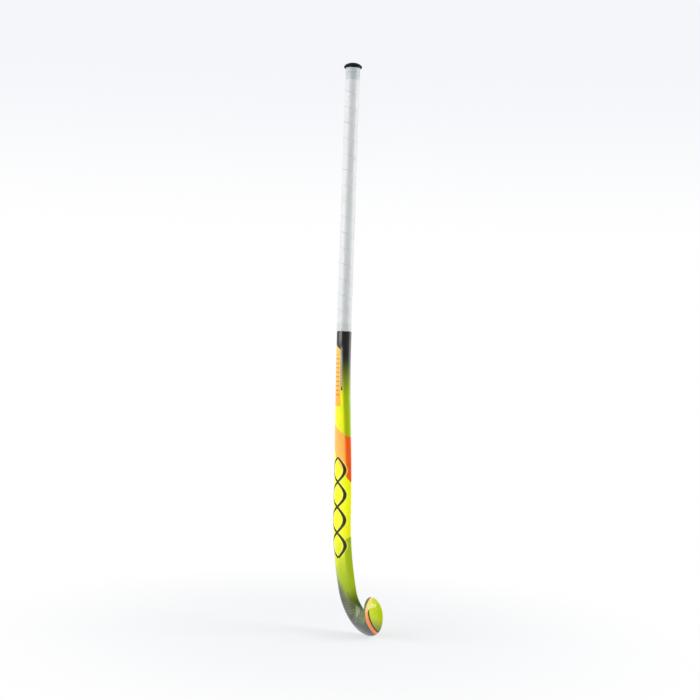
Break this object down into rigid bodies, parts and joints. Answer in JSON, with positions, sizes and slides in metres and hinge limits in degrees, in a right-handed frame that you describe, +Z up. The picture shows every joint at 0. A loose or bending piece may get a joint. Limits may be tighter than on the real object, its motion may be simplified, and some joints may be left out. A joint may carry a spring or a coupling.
{
  "type": "field hockey stick",
  "caption": "Composite field hockey stick with a low bow, hooked head with one flat playing face, wound grip and domed end cap.",
  "frame": {"origin": "on the handle's axis, halfway up the grip", "axes": "+Z up the straight handle towards the butt, +X the side the toe points to, +Y the side of the flat playing face"},
  "size_m": [0.1135, 0.0582, 0.9525],
  "materials": {
    "outer_laminate": "gloss lacquer over yellow, orange and charcoal paint",
    "glass_inner_tube": "raw laminate",
    "aramid_head_liner": "raw laminate",
    "head_foam_core": "closed-cell foam",
    "center_rib": "raw carbon laminate",
    "grip_cushion": "felted foam backing",
    "grip_wrap": "tacky polyurethane",
    "lower_finishing_tape": "smooth tape",
    "grip_collar": "smooth elastic",
    "end_cap": "moulded satin",
    "handle_plug": "rigid foam"
  },
  "bodies": {
    "root": {"outer_laminate": "outer_laminate", "glass_inner_tube": "glass_inner_tube", "aramid_head_liner": "aramid_head_liner", "head_foam_core": "head_foam_core", "center_rib": "center_rib", "grip_cushion": "grip_cushion", "grip_wrap": "grip_wrap", "lower_finishing_tape": "lower_finishing_tape", "grip_collar": "grip_collar", "end_cap": "end_cap", "handle_plug": "handle_plug"}
  },
  "joints": []
}
